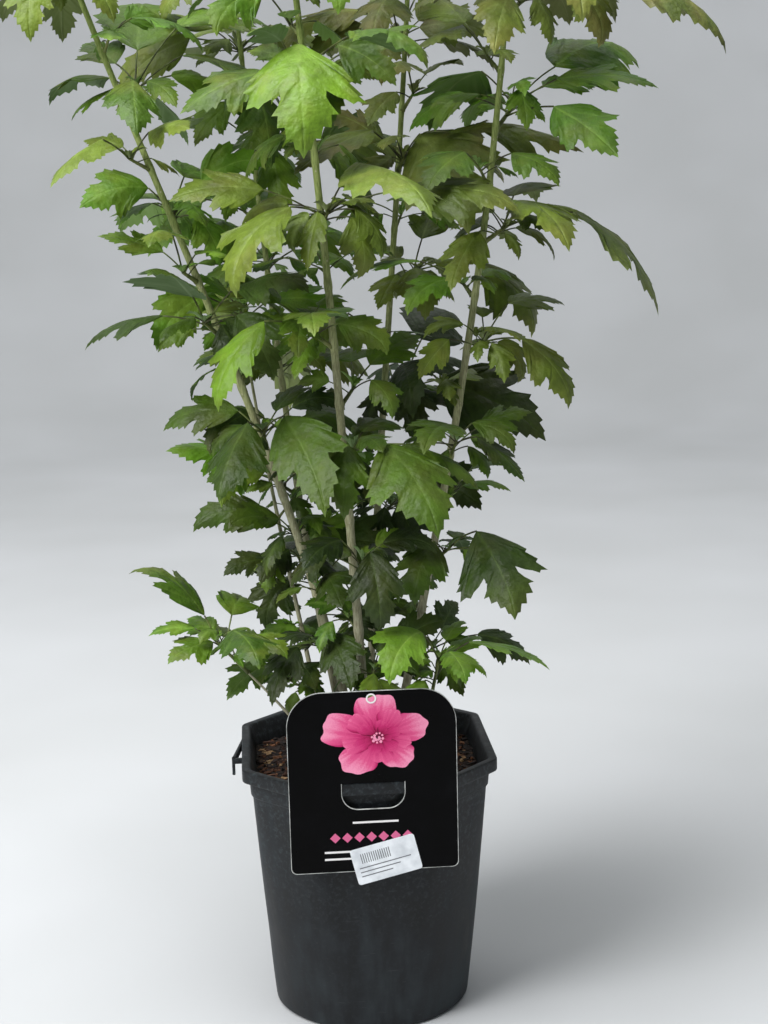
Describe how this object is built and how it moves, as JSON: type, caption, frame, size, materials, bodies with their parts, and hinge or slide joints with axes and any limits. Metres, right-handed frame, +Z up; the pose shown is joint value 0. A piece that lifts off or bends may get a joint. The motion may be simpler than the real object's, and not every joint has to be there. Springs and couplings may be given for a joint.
{
  "type": "potted hibiscus shrub",
  "caption": "Upright hibiscus shrub: a clump of slender leafy canes fanning out of the soil in a dark nursery pot, with a plain card label hooked over the rim.",
  "frame": {"origin": "centre of the pot's flat underside", "axes": "+Z up, +X to the right and +Y away from the side that carries the card label"},
  "size_m": [0.5402, 0.407, 0.9677],
  "materials": {
    "pot_plastic": "charcoal moulded polypropylene, satin with dust and scuffs",
    "soil": "dark peat with bark chips",
    "card": "black coated card with a printed bloom",
    "cane": "grey-tan bark low down, olive green above",
    "leaf": "toothed green leaves, satin above and paler below"
  },
  "bodies": {
    "root": {"cane_back": "cane", "cane_back_left": "cane", "cane_back_left_spray_1": "leaf", "cane_back_left_spray_2": "leaf", "cane_back_left_spray_3": "leaf", "cane_back_left_spray_4": "leaf", "cane_back_left_spray_5": "leaf", "cane_back_left_spray_6": "leaf", "cane_back_left_spray_7": "leaf", "cane_back_left_spray_top": "leaf", "cane_back_spray_1": "leaf", "cane_back_spray_2": "leaf", "cane_back_spray_3": "leaf", "cane_back_spray_4": "leaf", "cane_back_spray_5": "leaf", "cane_back_spray_6": "leaf", "cane_back_spray_7": "leaf", "cane_back_spray_top": "leaf", "cane_front": "cane", "cane_front_spray_1": "leaf", "cane_front_spray_2": "leaf", "cane_front_spray_3": "leaf", "cane_front_spray_4": "leaf", "cane_front_spray_5": "leaf", "cane_front_spray_6": "leaf", "cane_front_spray_7": "leaf", "cane_front_spray_8": "leaf", "cane_front_spray_top": "leaf", "cane_left": "cane", "cane_left_spray_1": "leaf", "cane_left_spray_2": "leaf", "cane_left_spray_3": "leaf", "cane_left_spray_4": "leaf", "cane_left_spray_5": "leaf", "cane_left_spray_6": "leaf", "cane_left_spray_7": "leaf", "cane_left_spray_8": "leaf", "cane_left_spray_top": "leaf", "cane_right": "cane", "cane_right_spray_1": "leaf", "cane_right_spray_2": "leaf", "cane_right_spray_3": "leaf", "cane_right_spray_4": "leaf", "cane_right_spray_5": "leaf", "cane_right_spray_6": "leaf", "cane_right_spray_7": "leaf", "cane_right_spray_8": "leaf", "cane_right_spray_top": "leaf", "cane_slender": "cane", "cane_slender_spray_1": "leaf", "cane_slender_spray_2": "leaf", "cane_slender_spray_top": "leaf", "card_label": "card", "pot": "pot_plastic", "shoot_left": "cane", "shoot_left_spray_top": "leaf", "shoot_right": "cane", "shoot_right_spray_top": "leaf", "soil": "soil"}
  },
  "joints": []
}
